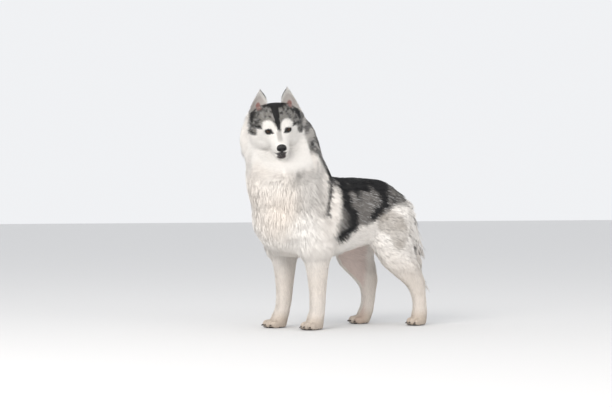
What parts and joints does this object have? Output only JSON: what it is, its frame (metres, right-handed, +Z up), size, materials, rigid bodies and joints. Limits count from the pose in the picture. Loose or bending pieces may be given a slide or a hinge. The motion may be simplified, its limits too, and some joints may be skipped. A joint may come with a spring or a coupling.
{
  "type": "siberian husky model",
  "caption": "Life-size still model of a siberian husky standing square with a slight stride, head turned to its left, ears pricked and tail hanging.",
  "frame": {"origin": "centre of the bounding box's bottom, on the floor under the middle of the dog", "axes": "+Z up and the longest extent, from the paws to the ear tips; the dog stands facing -Y with its left side towards +X, and its head is turned towards +X"},
  "size_m": [0.3076, 0.7756, 0.8976],
  "materials": {
    "pale_coat": "cream and white fur with grey-black markings on the head",
    "dark_coat": "grizzled grey-black fur over cream",
    "nose_skin": "moist black skin",
    "eye": "wet brown",
    "claw": "dark horn, satin"
  },
  "bodies": {
    "root": {"head": "pale_coat", "left_ear": "pale_coat", "left_eye": "eye", "left_fore_paw": "pale_coat", "left_fore_paw_claw_1": "claw", "left_fore_paw_claw_2": "claw", "left_fore_paw_claw_3": "claw", "left_fore_paw_claw_4": "claw", "left_foreleg": "pale_coat", "left_hind_leg": "pale_coat", "left_hind_paw": "pale_coat", "left_hind_paw_claw_1": "claw", "left_hind_paw_claw_2": "claw", "left_hind_paw_claw_3": "claw", "left_hind_paw_claw_4": "claw", "left_thigh": "pale_coat", "neck": "pale_coat", "nose": "nose_skin", "right_ear": "pale_coat", "right_eye": "eye", "right_fore_paw": "pale_coat", "right_fore_paw_claw_1": "claw", "right_fore_paw_claw_2": "claw", "right_fore_paw_claw_3": "claw", "right_fore_paw_claw_4": "claw", "right_foreleg": "pale_coat", "right_hind_leg": "pale_coat", "right_hind_paw": "pale_coat", "right_hind_paw_claw_1": "claw", "right_hind_paw_claw_2": "claw", "right_hind_paw_claw_3": "claw", "right_hind_paw_claw_4": "claw", "right_thigh": "pale_coat", "tail": "pale_coat", "torso": "dark_coat"}
  },
  "joints": []
}
